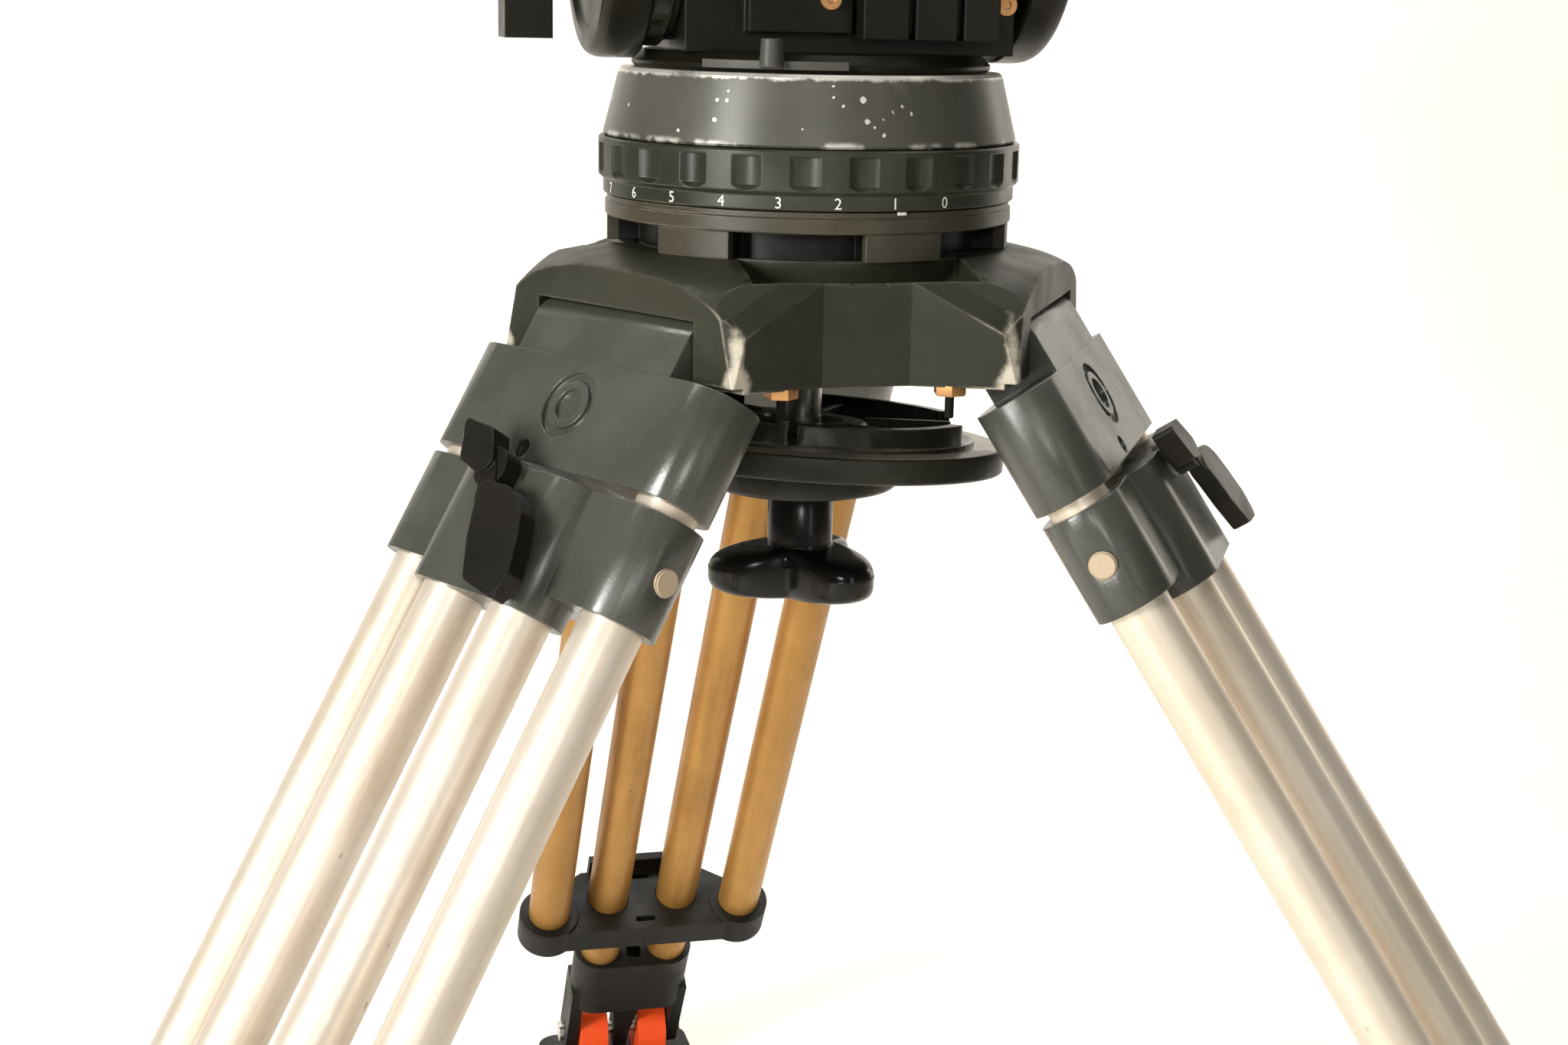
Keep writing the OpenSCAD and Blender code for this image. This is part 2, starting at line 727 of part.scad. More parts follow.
module balance_dial() {
  color("#25251f") on_tilt() difference() {
    disc_x(21, drum_out + seam, drum_out + 14);
    for (i = [0:11]) rotate([i * 30, 0, 0]) translate([0, 25.2, 0]) disc_x(6, drum_out, drum_out + 11);
  }
}

// Brake lever under the front of the platform, on the right arm
module tilt_brake() {
  color("#1c1b19") on_tilt() translate([0, -20, 40]) {
    disc_x(8, drum_out + seam, drum_out + 7);
    rotate([35, 0, 0]) hull() {
      block([drum_out + 1, -4, -2], [drum_out + 7, 4, 2]);
      block([drum_out + 1, -6, 22], [drum_out + 7, 6, 30]);
    }
  }
}

// Camera platform with a dovetail channel and end stops
channel_half = 32;
module platform() {
  half_y = 66;
  color("#292926") on_tilt() difference() {
    translate([0, 0, platform_h]) linear_extrude(platform_t) offset(r = 6, $fn = hull_fn)
      square([2 * drum_out - 12, 2 * half_y - 12], center = true);
    translate([0, half_y + 1, platform_h]) rotate([90, 0, 0]) linear_extrude(2 * half_y + 2)
      polygon([[-channel_half, 8], [channel_half, 8], [channel_half - 6, platform_t + 1],
               [-channel_half + 6, platform_t + 1]]);
  }
}

// Side lever that clamps the camera plate
module plate_lock() {
  color("#1f1e1c") on_tilt() translate([-drum_out - seam, -34, platform_h + 10]) {
    disc_x(7, -9, 0);
    hull() {
      block([-9, -6, -6], [-3, 6, 0]);
      block([-9, 30, -6], [-3, 38, 0]);
    }
  }
}

module camera_plate() {
  plate_y = 70;
  top = platform_t + 9;
  color("#4a4945") on_tilt() translate([0, 0, platform_h]) difference() {
    union() {
      translate([0, plate_y, 0]) rotate([90, 0, 0]) linear_extrude(2 * plate_y)
        polygon([[-channel_half + 0.5, 8 + slide_gap], [channel_half - 0.5, 8 + slide_gap],
                 [channel_half - 6 - slide_gap, platform_t], [-channel_half + 6 + slide_gap, platform_t]]);
      translate([0, 0, platform_t - 0.1]) linear_extrude(9.1) offset(r = 5, $fn = hull_fn)
        square([50 - 10, 2 * plate_y - 10], center = true);
      translate([0, 0, platform_t + slide_gap]) linear_extrude(9 - slide_gap) offset(r = 5, $fn = hull_fn)
        square([76 - 10, 2 * plate_y - 10], center = true);
    }
    // Long slot and recess for the screw
    block([-5.2, -48, -1], [5.2, 48, top + 1]);
    block([-9, -52, -1], [9, 52, top - 6]);
  }
}

// 3/8 inch camera screw with its knurled head, and a locating pin
screw_r = 4.76;
screw_out = 9;
module camera_screw() {
  color("#aaa79e") on_tilt() translate([0, 0, platform_h]) {
    disc(screw_r, platform_t + 9, platform_t + 9 + screw_out);
    disc(screw_r + 0.3, platform_t, platform_t + 9);
    disc(8.5, platform_t - 4, platform_t + 3);
    translate([0, 30, 0]) {
      disc(2.5, platform_t, platform_t + 9 + 6);
      disc(7, platform_t - 3, platform_t + 3);
    }
  }
}

// ---------------------------------------------------------------- pan bar

bar_rise = 12;
bar_r = 8;
bar_x = -118.5;
module bar_frame() {
  on_tilt() rotate([bar_rise, 0, 0]) children();
}

// Upright clamp arm on the rosette
module bar_bracket() {
  arm_half = 11;
  color("#2b2b29") {
    on_tilt() difference() {
      union() {
        block([bracket_x[0], -arm_half, -tilt_h + 61.5], [bracket_x[1], arm_half, 4]);
        disc_x(22, bracket_x[0], bracket_x[1]);
        rotate([bar_rise, 0, 0]) translate([bar_x, 0, 0]) disc_y(14, -16, 44);
      }
      // Flat against the rosette
      block([bracket_x[1], -60, -60], [bracket_x[1] + 20, 60, 60]);
      rotate([bar_rise, 0, 0]) translate([bar_x, 0, 0]) disc_y(bar_r, 24, 60);
      disc_x(rosette_pin_r + turn_gap, bracket_x[1] - 13.5, bracket_x[1] + 1);
    }
    // Clamp screw head
    on_tilt() disc_x(10, bracket_x[0] - 7, bracket_x[0]);
  }
}

module pan_bar() {
  color("#bdb9ae") bar_frame() translate([bar_x, 0, 0]) difference() {
    disc_y(bar_r, 24, 24 + bar_l);
    disc_y(bar_r - 1.5, 23, 25 + bar_l);
  }
}

module bar_grip() {
  grip_l = 118;
  color("#1e1d1b") bar_frame() translate([bar_x, 24 + bar_l - grip_l + 6, 0]) rotate([-90, 0, 0])
    rotate_extrude() polygon([
      [bar_r, 0], [14, 0], [15.5, 2], [15.5, 6], [13, 12], [14.5, grip_l / 2], [13.2, grip_l - 16],
      [15.5, grip_l - 8], [14, grip_l], [0, grip_l + 1], [0, grip_l - 6], [bar_r, grip_l - 6]
    ]);
}

// ---------------------------------------------------------------- the parts

right_turn = -37;
back_turn = -28;
left_turn = -30;

module right_shoulder() { shoulder(right_dir); }
module right_outer_tubes() { outer_tubes(right_dir); }
module right_lower_bracket() { lower_bracket(right_dir); }
module right_slider() { slider(right_dir); }
module right_inner_tubes() { inner_tubes(right_dir); }
module right_plugs() { plugs(right_dir); }
module right_clamp_lever() { clamp_lever(right_dir, right_turn); }
module right_foot_fork() { foot_fork(right_dir); }
module right_foot_bolt() { foot_bolt(right_dir); }
module right_foot_collars() { foot_collars(right_dir); }
module right_shoe() { shoe(right_dir); }
module back_shoulder() { shoulder(back_dir); }
module back_outer_tubes() { outer_tubes(back_dir); }
module back_lower_bracket() { lower_bracket(back_dir); }
module back_slider() { slider(back_dir); }
module back_inner_tubes() { inner_tubes(back_dir); }
module back_plugs() { plugs(back_dir); }
module back_clamp_lever() { clamp_lever(back_dir, back_turn); }
module back_foot_fork() { foot_fork(back_dir); }
module back_foot_bolt() { foot_bolt(back_dir); }
module back_foot_collars() { foot_collars(back_dir); }
module back_shoe() { shoe(back_dir); }
module left_shoulder() { shoulder(left_dir); }
module left_outer_tubes() { outer_tubes(left_dir); }
module left_lower_bracket() { lower_bracket(left_dir); }
module left_slider() { slider(left_dir); }
module left_inner_tubes() { inner_tubes(left_dir); }
module left_plugs() { plugs(left_dir); }
module left_clamp_lever() { clamp_lever(left_dir, left_turn); }
module left_foot_fork() { foot_fork(left_dir); }
module left_foot_bolt() { foot_bolt(left_dir); }
module left_foot_collars() { foot_collars(left_dir); }
module left_shoe() { shoe(left_dir); }

crown();
leg_hinge_pins();
tie_down_stud();
clamp_plate();
clamp_boss();
wing_knob();
right_shoulder();
right_outer_tubes();
right_lower_bracket();
right_slider();
right_inner_tubes();
right_plugs();
right_clamp_lever();
right_foot_fork();
right_foot_bolt();
right_foot_collars();
right_shoe();
back_shoulder();
back_outer_tubes();
back_lower_bracket();
back_slider();
back_inner_tubes();
back_plugs();
back_clamp_lever();
back_foot_fork();
back_foot_bolt();
back_foot_collars();
back_shoe();
left_shoulder();
left_outer_tubes();
left_lower_bracket();
left_slider();
left_inner_tubes();
left_plugs();
left_clamp_lever();
left_foot_fork();
left_foot_bolt();
left_foot_collars();
left_shoe();
head_base();
pan_drag_ring();
pan_housing();
head_neck();
pan_brake();
tilt_housing();
head_screws();
balance_blocks();
spirit_level();
left_drum();
right_drum();
tilt_drag_ring();
balance_dial();
tilt_brake();
platform();
plate_lock();
camera_plate();
camera_screw();
bar_bracket();
pan_bar();
bar_grip();
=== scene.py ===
"""Looks for the film tripod: materials, rounded castings, small pieces, lights and camera."""
import math

import bmesh
import bpy
from mathutils import Matrix, Vector


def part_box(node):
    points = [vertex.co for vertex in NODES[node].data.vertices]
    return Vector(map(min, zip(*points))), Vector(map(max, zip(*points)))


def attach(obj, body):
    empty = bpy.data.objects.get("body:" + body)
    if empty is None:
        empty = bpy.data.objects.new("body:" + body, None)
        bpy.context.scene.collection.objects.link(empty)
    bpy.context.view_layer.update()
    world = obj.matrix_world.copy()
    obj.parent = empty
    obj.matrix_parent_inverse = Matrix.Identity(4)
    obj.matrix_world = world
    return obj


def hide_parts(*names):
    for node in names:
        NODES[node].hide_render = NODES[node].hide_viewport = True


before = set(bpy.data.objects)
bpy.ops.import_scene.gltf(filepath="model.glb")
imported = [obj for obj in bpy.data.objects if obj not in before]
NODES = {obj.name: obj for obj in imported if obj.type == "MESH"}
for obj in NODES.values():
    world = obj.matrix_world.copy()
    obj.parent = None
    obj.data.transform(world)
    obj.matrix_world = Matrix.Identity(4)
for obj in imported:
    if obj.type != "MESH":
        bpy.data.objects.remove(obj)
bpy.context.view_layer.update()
SCENE = bpy.context.scene

MM = 0.001

# Sizes of the object that the looks need, in metres, and in degrees from -Y towards +X
LEG_TILT = 33.4
LEG_DIRS = {"right": 60.0, "back": 180.0, "left": 300.0}
HOLLOW_DIRS = (0.0, 120.0, 240.0)
RING_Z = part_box("pan_drag_ring")[0].z
LEG_TOP_R = 95.8 * MM
LEG_TOP_Z = RING_Z - 60 * MM
TILT_Z = RING_Z + 116 * MM
CROWN_CORNER_R, CROWN_CORNER_TURN = 123.5 * MM, 34.0
CROWN_BOTTOM = RING_Z - 65.3 * MM
HOUSING_TOP, HOUSING_FOOT = RING_Z + 50.8 * MM, RING_Z + 25.4 * MM
PAN_DIAL_R = 85 * MM

# The stage and the camera share one turn about the pan axis
VIEW_TURN = -14.35


# ---------------------------------------------------------------- shader helpers

class Shader:
    """Builds one material's node tree. Values may be numbers, tuples or sockets."""

    def __init__(self, name):
        self.mat = bpy.data.materials.new(name)
        self.mat.use_nodes = True
        self.tree = self.mat.node_tree
        self.tree.nodes.clear()
        self.out = self.tree.nodes.new("ShaderNodeOutputMaterial")
        self.bsdf = self.tree.nodes.new("ShaderNodeBsdfPrincipled")
        self.tree.links.new(self.bsdf.outputs[0], self.out.inputs["Surface"])
        self.coords = self.tree.nodes.new("ShaderNodeTexCoord").outputs["Object"]

    def put(self, socket, value):
        if isinstance(value, bpy.types.NodeSocket):
            self.tree.links.new(value, socket)
        elif hasattr(socket.default_value, "__len__"):
            alpha = (1.0,) if len(value) == 3 and len(socket.default_value) == 4 else ()
            socket.default_value = tuple(value) + alpha
        else:
            socket.default_value = value

    def node(self, kind, inputs=(), **props):
        n = self.tree.nodes.new("ShaderNode" + kind)
        for key, value in props.items():
            setattr(n, key, value)
        for key, value in dict(inputs).items():
            self.put(n.inputs[key], value)
        return n

    def set(self, **inputs):
        for key, value in inputs.items():
            self.put(self.bsdf.inputs[key.replace("_", " ")], value)
        return self

    def noise(self, scale, detail=3.0, rough=0.55, distort=0.0, vector=None):
        return self.node("TexNoise", {"Vector": vector or self.coords, "Scale": scale, "Detail": detail,
                                      "Roughness": rough, "Distortion": distort}).outputs["Fac"]

    def ramp(self, value, low, high, to_low=0.0, to_high=1.0):
        """A smooth step between two values; low may be above high."""
        return self.node("MapRange", {"Value": value, "From Min": low, "From Max": high, "To Min": to_low,
                                      "To Max": to_high}, clamp=True,
                         interpolation_type="SMOOTHSTEP").outputs[0]

    def math(self, op, a, b=0.0, clamp=False):
        return self.node("Math", {0: a, 1: b}, operation=op, use_clamp=clamp).outputs[0]

    def mul(self, *values):
        result = values[0]
        for v in values[1:]:
            result = self.math("MULTIPLY", result, v)
        return result

    def mix(self, fac, a, b):
        """Blends two colours."""
        n = self.tree.nodes.new("ShaderNodeMix")
        n.data_type = "RGBA"
        self.put(n.inputs[0], fac)
        self.put(n.inputs[6], a)
        self.put(n.inputs[7], b)
        return n.outputs[2]

    def mixf(self, fac, a, b):
        """Blends two numbers."""
        n = self.tree.nodes.new("ShaderNodeMix")
        self.put(n.inputs[0], fac)
        self.put(n.inputs[2], a)
        self.put(n.inputs[3], b)
        return n.outputs[0]

    def axis(self, index, vector=None):
        return self.node("SeparateXYZ", {0: vector or self.coords}).outputs[index]

    def stretched(self, scale, vector=None):
        return self.node("Mapping", {"Vector": vector or self.coords, "Scale": scale}).outputs[0]

    def distance(self, point, vector=None):
        return self.node("VectorMath", {0: vector or self.coords, 1: point},
                         operation="DISTANCE").outputs["Value"]

    def normal(self):
        return self.node("NewGeometry").outputs["Normal"]

    def leg_coords(self, leg):
        """x across the leg, y outward (negative), z along it (negative), from the leg's top."""
        phi = math.radians(LEG_DIRS[leg])
        lean = Matrix.Rotation(phi, 3, "Z") @ Matrix.Rotation(math.radians(-LEG_TILT), 3, "X")
        return self.node("Mapping", {
            "Vector": self.coords,
            "Location": (LEG_TOP_R * math.sin(phi), -LEG_TOP_R * math.cos(phi), LEG_TOP_Z),
            "Rotation": lean.to_euler(),
        }, vector_type="TEXTURE").outputs[0]

    def rounded(self, radius):
        """The surface normal with its edges rounded."""
        return self.node("Bevel", {"Radius": radius}, samples=6).outputs[0]

    def edges(self, radius, breakup, amount):
        """1 on worn outside and inside edges, 0 on flat faces, broken up by noise."""
        dot = self.node("VectorMath", {0: self.rounded(radius), 1: self.normal()},
                        operation="DOT_PRODUCT").outputs["Value"]
        edge = self.ramp(self.math("SUBTRACT", 1.0, dot), 0.004, 0.06)
        broken = self.ramp(self.noise(breakup, 4.0, 0.65), 0.5 - amount * 0.5, 0.5 + amount * 0.35)
        return self.mul(edge, broken)

    def radius(self):
        """Distance from the pan axis."""
        x, y = self.axis(0), self.axis(1)
        return self.math("SQRT", self.math("ADD", self.mul(x, x), self.mul(y, y)))

    def crown_corners(self):
        """How much the crown may be worn at a point, and its bare upright corners beside the hollows."""
        flat = self.stretched((1.0, 1.0, 0.0))
        near = None
        for leg in LEG_DIRS.values():
            for side in (-1, 1):
                a = math.radians(leg + side * CROWN_CORNER_TURN)
                corner = (CROWN_CORNER_R * math.sin(a), -CROWN_CORNER_R * math.cos(a), 0.0)
                away = self.distance(corner, flat)
                near = away if near is None else self.math("MINIMUM", near, away)
        z = self.axis(2)
        off_middle = self.math("ABSOLUTE", self.math("SUBTRACT", z, CROWN_BOTTOM + 18 * MM))
        width = self.mixf(self.ramp(off_middle, 6 * MM, 15 * MM), 2.4 * MM, 5.6 * MM)
        warp = self.mul(self.math("SUBTRACT", self.noise(130.0, 5.0, 0.7), 0.5), 7 * MM)
        strip = self.ramp(self.math("SUBTRACT", self.math("ADD", near, warp), width), 1.6 * MM, -2.2 * MM)
        below = self.ramp(z, CROWN_BOTTOM + 35 * MM, CROWN_BOTTOM + 32 * MM)
        return self.ramp(near, 20 * MM, 8 * MM), self.mul(strip, below)

    def bump(self, *layers, soften=None):
        """Chains bumps given as (height socket, distance in metres, strength)."""
        normal = self.rounded(soften) if soften else None
        for height, distance, strength in layers:
            inputs = {"Height": height, "Distance": distance, "Strength": strength}
            if normal:
                inputs["Normal"] = normal
            normal = self.node("Bump", inputs).outputs[0]
        self.put(self.bsdf.inputs["Normal"], normal)


def painted_casting(name, colour, shade, worn, rough=0.46, edge=0.8 * MM, wear=0.5, grain=900.0,
                    grain_depth=0.10 * MM, specular=0.35, speck=0.10, where=None, shade_mask=None):
    """Satin paint on a casting: fine grain, cloudy tone, greasy patches, and edges rubbed bare in places.

    where gives a zone that wears and a bare strip, and the shade mask a stretch painted near black as
    painted shade.
    """
    s = Shader(name)
    cloud = s.noise(16.0, 5.0, 0.6)
    fine = s.noise(grain, 3.0, 0.6)
    tone = s.mix(s.ramp(cloud, 0.35, 0.68), colour, shade)
    tone = s.mix(s.mul(s.ramp(fine, 0.58, 0.78), speck), tone, worn)
    grime = s.ramp(s.noise(38.0, 5.0, 0.7, 0.8), 0.55, 0.75)
    tone = s.mix(s.mul(grime, 0.16), tone, tuple(0.5 * c for c in colour))
    patch = s.ramp(s.noise(13.0, 3.0, 0.6), 0.62 - 0.3 * wear, 0.86 - 0.3 * wear)
    edges = s.mul(s.edges(edge, 170.0, wear), patch)
    scuffs = s.mul(s.ramp(s.noise(75.0, 6.0, 0.75, 1.2), 0.69, 0.75), s.ramp(s.noise(9.0), 0.55, 0.7))
    bare = s.math("MAXIMUM", s.mul(edges, 0.9), s.mul(scuffs, 0.08), clamp=True)
    if where:
        near, strip = where(s)
        bare = s.math("MAXIMUM", s.mul(bare, s.mixf(near, 0.10, 1.0)), s.mul(strip, 0.80), clamp=True)
    colour_now = s.mix(bare, tone, worn)
    # Painted shade: the masked stretch is painted near black where shade falls, and loses its bare edges.
    if shade_mask:
        inside = shade_mask(s)
        colour_now = s.mix(inside, colour_now, (0.003, 0.003, 0.002))
        bare = s.mul(bare, s.math("SUBTRACT", 1.0, inside))
    s.set(Base_Color=colour_now, Metallic=s.mul(bare, 0.3), Specular_IOR_Level=specular,
          Roughness=s.mixf(s.ramp(s.noise(30.0, 4.0), 0.35, 0.7), rough - 0.06, rough + 0.1))
    s.bump((fine, grain_depth, 0.5), (cloud, 0.4 * MM, 0.12), soften=0.9 * MM)
    return s.mat


def leg_tube(leg, bright, dull, stain):
    """Satin anodised aluminium: draw lines along the tube, warm bloom, dings and black rub marks."""
    s = Shader(f"leg_tube_{leg}")
    local = s.leg_coords(leg)
    lines = s.noise(1400.0, 3.0, 0.6, vector=s.stretched((1.0, 1.0, 0.02), local))
    broad = s.noise(90.0, 4.0, 0.6, vector=s.stretched((1.0, 1.0, 0.12), local))
    cloud = s.noise(11.0, 5.0, 0.65, vector=local)
    metal = s.mix(s.ramp(cloud, 0.3, 0.7), bright, dull)
    metal = s.mix(s.mul(s.ramp(broad, 0.5, 0.78), 0.5), metal, stain)
    metal = s.mix(s.mul(s.ramp(lines, 0.45, 0.75), 0.18), metal, stain)
    long_marks = s.stretched((1.0, 1.0, 0.16), local)
    rub = s.mul(s.ramp(s.noise(60.0, 6.0, 0.75, 0.6, vector=long_marks), 0.63, 0.72),
                s.ramp(s.noise(14.0, 2.0, vector=local), 0.5, 0.64))
    metal = s.mix(s.mul(rub, 0.6), metal, (0.16, 0.14, 0.11))
    pits = s.node("TexVoronoi", {"Vector": s.stretched((1.0, 1.0, 0.5), local),
                                 "Scale": 120.0}).outputs["Distance"]
    ding = s.mul(s.ramp(pits, 0.14, 0.04), s.ramp(s.noise(19.0, 2.0, vector=local), 0.60, 0.63))
    metal = s.mix(s.mul(ding, 0.75), metal, (0.08, 0.07, 0.06))
    s.set(Base_Color=metal, Metallic=s.mixf(s.math("MAXIMUM", rub, ding), 0.55, 0.2),
          Roughness=s.mixf(s.ramp(broad, 0.35, 0.7), 0.40, 0.52))
    s.bump((lines, 0.05 * MM, 0.25), (s.ramp(pits, 0.0, 0.2), 0.2 * MM, 0.3))
    return s.mat


def moulded(name, colour, worn, rough=0.5, depth=0.08 * MM, coat=0.0, specular=0.28, dusty=0.14):
    """Moulded plastic or rubber: fine texture, dust and pale worn rims."""
    s = Shader(name)
    fine = s.noise(650.0, 4.0, 0.6)
    cloud = s.noise(24.0, 5.0, 0.6)
    dust = s.ramp(s.noise(70.0, 6.0, 0.7), 0.52, 0.75)
    tone = s.mix(s.mul(dust, dusty), colour, worn)
    edges = s.edges(0.9 * MM, 120.0, 0.55)
    s.set(Base_Color=s.mix(s.mul(edges, 0.4), tone, worn), Specular_IOR_Level=specular,
          Roughness=s.mixf(s.ramp(cloud, 0.3, 0.7), rough - 0.07, rough + 0.12))
    if coat:
        s.set(Coat_Weight=coat, Coat_Roughness=0.12)
    s.bump((fine, depth, 0.4), (cloud, 0.3 * MM, 0.08), soften=0.8 * MM)
    return s.mat


def machined(name, colour, rough=0.3):
    """Turned or plated metal with grime in it."""
    s = Shader(name)
    grime = (0.06, 0.05, 0.035)
    lines = s.noise(1500.0, 2.0, 0.5, vector=s.stretched((1.0, 1.0, 6.0)))
    dirt = s.ramp(s.noise(160.0, 5.0, 0.7), 0.5, 0.78)
    s.set(Base_Color=s.mix(s.mul(dirt, 0.6), colour, grime), Metallic=s.mixf(dirt, 0.95, 0.5),
          Roughness=s.mixf(s.ramp(s.noise(80.0, 4.0), 0.35, 0.7), rough - 0.06, rough + 0.14))
    s.bump((lines, 0.03 * MM, 0.3), soften=0.4 * MM)
    return s.mat


def housing_paint():
    """Green-grey enamel, chipped through to bright metal, most of all along its top edge."""
    s = Shader("housing_enamel")
    cloud = s.noise(13.0, 5.0, 0.6)
    fine = s.noise(1100.0, 2.0, 0.5)
    tone = s.mix(s.ramp(cloud, 0.32, 0.7), (0.056, 0.056, 0.045), (0.076, 0.072, 0.057))
    tone = s.mix(s.mul(s.ramp(s.noise(42.0, 5.0, 0.7), 0.55, 0.75), 0.3), tone, (0.16, 0.155, 0.13))
    z = s.axis(2)
    warp = s.mul(s.math("SUBTRACT", s.noise(120.0, 5.0, 0.75), 0.5), 5.0 * MM)
    rim = s.ramp(s.math("ADD", z, warp), HOUSING_TOP - 2.6 * MM, HOUSING_TOP - 1.0 * MM)

    # Chips: cells of the unrolled wall, a few of them bare, most in two clusters on the front
    around = s.mul(s.math("ARCTAN2", s.axis(0), s.mul(s.axis(1), -1.0)), 82.0 * MM)
    unrolled = s.node("CombineXYZ", {0: around, 1: z}).outputs[0]
    cell = s.node("TexVoronoi", {"Vector": unrolled, "Scale": 260.0}, voronoi_dimensions="2D").outputs
    pick = s.node("SeparateColor", {0: cell["Color"]}).outputs
    large = s.ramp(s.distance((4 * MM, -82 * MM, RING_Z + 33 * MM)), 0.0, 36 * MM, 0.40, 0.008)
    small = s.ramp(s.distance((-47 * MM, -67 * MM, RING_Z + 38 * MM)), 0.0, 16 * MM, 0.30, 0.0)
    chosen = s.math("LESS_THAN", pick[0], s.math("MAXIMUM", large, small))
    size = s.mixf(s.mul(pick[1], pick[1]), 0.11, 0.36)
    ragged = s.mul(s.math("SUBTRACT", s.noise(700.0, 3.0, 0.7), 0.5), 0.35)
    edge = s.math("ADD", cell["Distance"], ragged)
    chip = s.mul(chosen, s.ramp(s.math("SUBTRACT", edge, size), 0.04, -0.03))

    low = s.math("ADD", z, s.mul(warp, 0.5))
    foot = s.mul(s.ramp(low, HOUSING_FOOT + 1.2 * MM, HOUSING_FOOT - 1.2 * MM),
                 s.ramp(s.noise(60.0, 3.0), 0.5, 0.62))
    bare = s.math("MAXIMUM", s.mul(rim, s.ramp(s.noise(45.0, 4.0), 0.3, 0.5)), chip)
    bare = s.math("MAXIMUM", bare, s.mul(foot, 0.8), clamp=True)
    s.set(Base_Color=s.mix(bare, tone, (0.80, 0.77, 0.70)), Metallic=s.mul(bare, 0.6),
          Roughness=s.mixf(bare, s.mixf(s.ramp(cloud, 0.3, 0.7), 0.30, 0.40), 0.42))
    s.bump((fine, 0.03 * MM, 0.35), (s.math("SUBTRACT", 1.0, bare), 0.12 * MM, 0.6), soften=0.5 * MM)
    return s.mat


def clamp_top(s):
    """The bare top of the clamp plate, outside its raised wall."""
    up = s.axis(2, s.normal())
    on_top = s.mul(s.ramp(up, 0.90, 0.97), s.ramp(s.radius(), 70.8 * MM, 71.6 * MM))
    return 1.0, s.mul(on_top, s.ramp(s.noise(45.0, 5.0, 0.7), 0.25, 0.45))


def base_core(s):
    """Painted shade: the core behind the head base's castellations, painted near black where it lies in
    shade.
    """
    z = s.axis(2)
    below_flange = s.ramp(z, RING_Z - 8.6 * MM, RING_Z - 9.0 * MM)
    above_foot = s.ramp(z, RING_Z - 20.5 * MM, RING_Z - 20.0 * MM)
    return s.mul(s.ramp(s.radius(), 79.0 * MM, 78.4 * MM), s.mul(below_flange, above_foot))


CROWN = painted_casting(
    "crown_paint", (0.017, 0.017, 0.010), (0.030, 0.030, 0.019), (0.70, 0.63, 0.51),
    rough=0.48, edge=1.8 * MM, wear=0.75, specular=0.3, speck=0.02, where=Shader.crown_corners)
LEG_PAINT = painted_casting(
    "leg_paint", (0.046, 0.048, 0.039), (0.064, 0.066, 0.053), (0.30, 0.28, 0.22),
    rough=0.30, edge=0.9 * MM, wear=0.35, specular=0.7, speck=0.05)
CLAMP_PAINT = painted_casting(
    "clamp_paint", (0.017, 0.017, 0.012), (0.030, 0.028, 0.020), (0.60, 0.54, 0.44),
    rough=0.34, wear=0.8, specular=0.3, speck=0.03, where=clamp_top)
# The head base's core behind its castellations is painted near black as painted shade.
BASE_METAL = painted_casting(
    "head_base_metal", (0.042, 0.036, 0.023), (0.060, 0.052, 0.035), (0.36, 0.34, 0.27),
    rough=0.36, edge=0.6 * MM, wear=0.6, grain=1400.0, speck=0.05, shade_mask=base_core)
RING_METAL = painted_casting(
    "ring_anodised", (0.018, 0.020, 0.013), (0.034, 0.036, 0.024), (0.24, 0.22, 0.17),
    rough=0.34, edge=0.6 * MM, grain=1300.0, grain_depth=0.04 * MM)
HEAD_PAINT = painted_casting(
    "head_paint", (0.0065, 0.006, 0.0035), (0.012, 0.0105, 0.0065), (0.20, 0.16, 0.11),
    rough=0.34, edge=0.7 * MM, wear=0.35, specular=0.2, speck=0.02)
LEVER_PAINT = painted_casting(
    "lever_paint", (0.0065, 0.006, 0.0045), (0.012, 0.010, 0.0075), (0.58, 0.53, 0.42),
    rough=0.42, wear=0.45, specular=0.2, speck=0.02)
# Near-black painted shade, for parts that sit in shadow under the crown
SHADOW = painted_casting(
    "painted_shadow_black", (0.006, 0.006, 0.005), (0.010, 0.009, 0.007), (0.05, 0.045, 0.035),
    rough=0.7, wear=0.2, specular=0.1)
BLACK_PLASTIC = moulded("black_plastic", (0.010, 0.0092, 0.0072), (0.08, 0.068, 0.05), specular=0.2)
GREY_PLASTIC = moulded("control_grey", (0.055, 0.053, 0.046), (0.16, 0.15, 0.13))
RED_RUBBER = moulded("red_rubber", (0.82, 0.075, 0.008), (0.62, 0.14, 0.06), rough=0.48)
SHOE_RUBBER = moulded("shoe_rubber", (0.018, 0.018, 0.017), (0.12, 0.11, 0.095), rough=0.66)
GRIP_RUBBER = moulded("grip_rubber", (0.016, 0.0155, 0.015), (0.10, 0.095, 0.085), rough=0.6)
PLUG = moulded("cream_plug", (0.50, 0.40, 0.28), (0.36, 0.27, 0.17), rough=0.38)
KNOB_BLACK = moulded("knob_black", (0.007, 0.006, 0.005), (0.06, 0.05, 0.04), rough=0.22,
                     depth=0.02 * MM, coat=0.15, dusty=0.05)
MARKING = moulded("white_marking", (0.78, 0.75, 0.66), (0.42, 0.40, 0.33))
STEEL = machined("steel", (0.55, 0.53, 0.49))
COPPER = machined("copper_screw", (0.62, 0.33, 0.14), rough=0.34)
BAR_METAL = machined("bar_metal", (0.66, 0.64, 0.60), rough=0.32)
HOUSING = housing_paint()

# Bright, dull and stained tones of each leg's tubes
CREAM = ((0.78, 0.71, 0.62), (0.68, 0.59, 0.47), (0.50, 0.38, 0.26))
